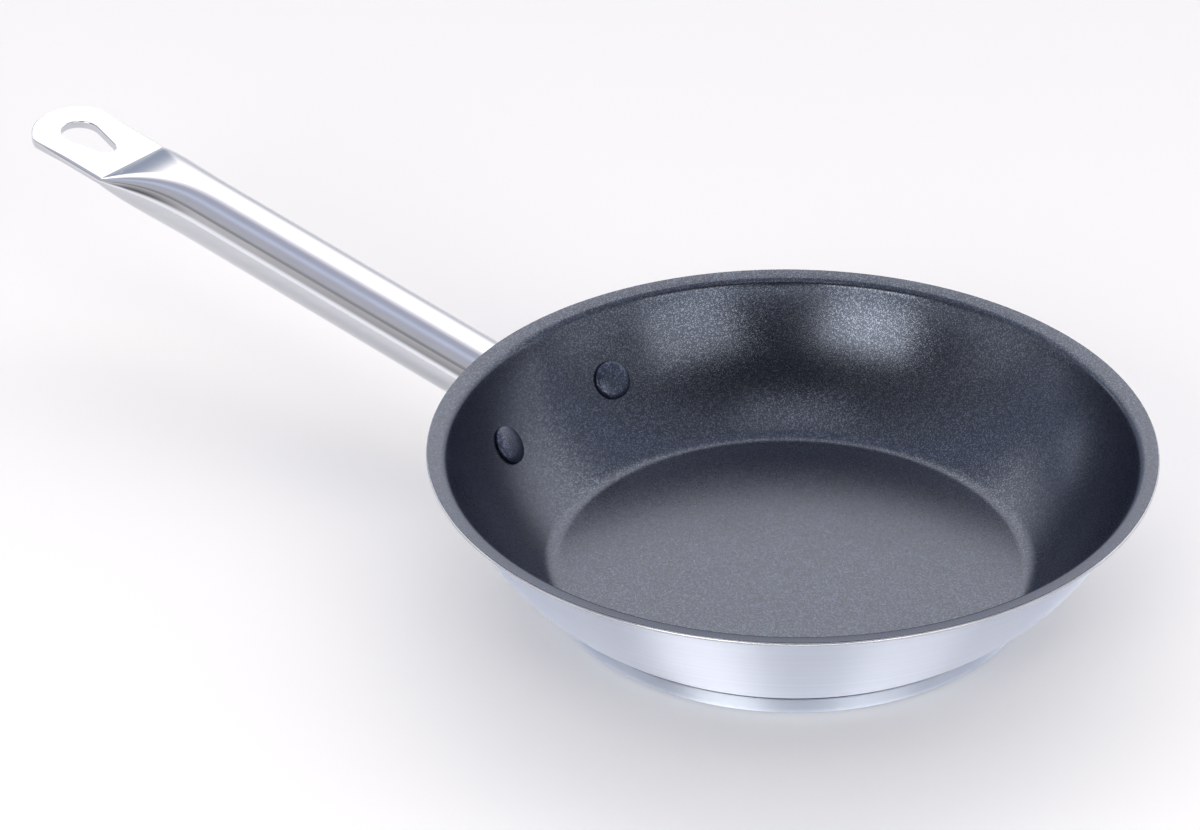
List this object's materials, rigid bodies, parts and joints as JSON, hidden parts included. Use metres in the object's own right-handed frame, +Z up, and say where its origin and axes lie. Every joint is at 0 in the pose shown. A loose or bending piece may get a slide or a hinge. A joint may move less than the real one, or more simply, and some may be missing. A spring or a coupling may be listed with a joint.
{
  "type": "nonstick frying pan",
  "caption": "Steel frying pan with a dark nonstick inside, flared rim, capsuled flat base and a riveted tubular handle crimped to a flat hanging tab.",
  "frame": {"origin": "centre of the flat underside of the base", "axes": "+Z up out of the bowl, the handle runs out along -X, the XZ plane is the plane of symmetry"},
  "size_m": [0.3871, 0.2, 0.0596],
  "materials": {
    "polished_steel": "bright satin, spun around the axis",
    "base_steel": "bright satin side, turned underside",
    "handle_steel": "polished with fine lengthwise lines",
    "weld_steel": "dressed weld, satin",
    "nonstick": "dark grey sprayed coating with fine mineral sparkle",
    "coated_rivet": "dark coated head, bare steel tail",
    "core_aluminium": "plain sheet"
  },
  "bodies": {
    "root": {"pan_shell": "polished_steel", "nonstick_coating": "nonstick", "base_core": "core_aluminium", "base_capsule": "base_steel", "handle_bracket": "handle_steel", "handle_tube": "handle_steel", "handle_weld": "weld_steel", "rivet_left": "coated_rivet", "rivet_right": "coated_rivet"}
  },
  "joints": []
}
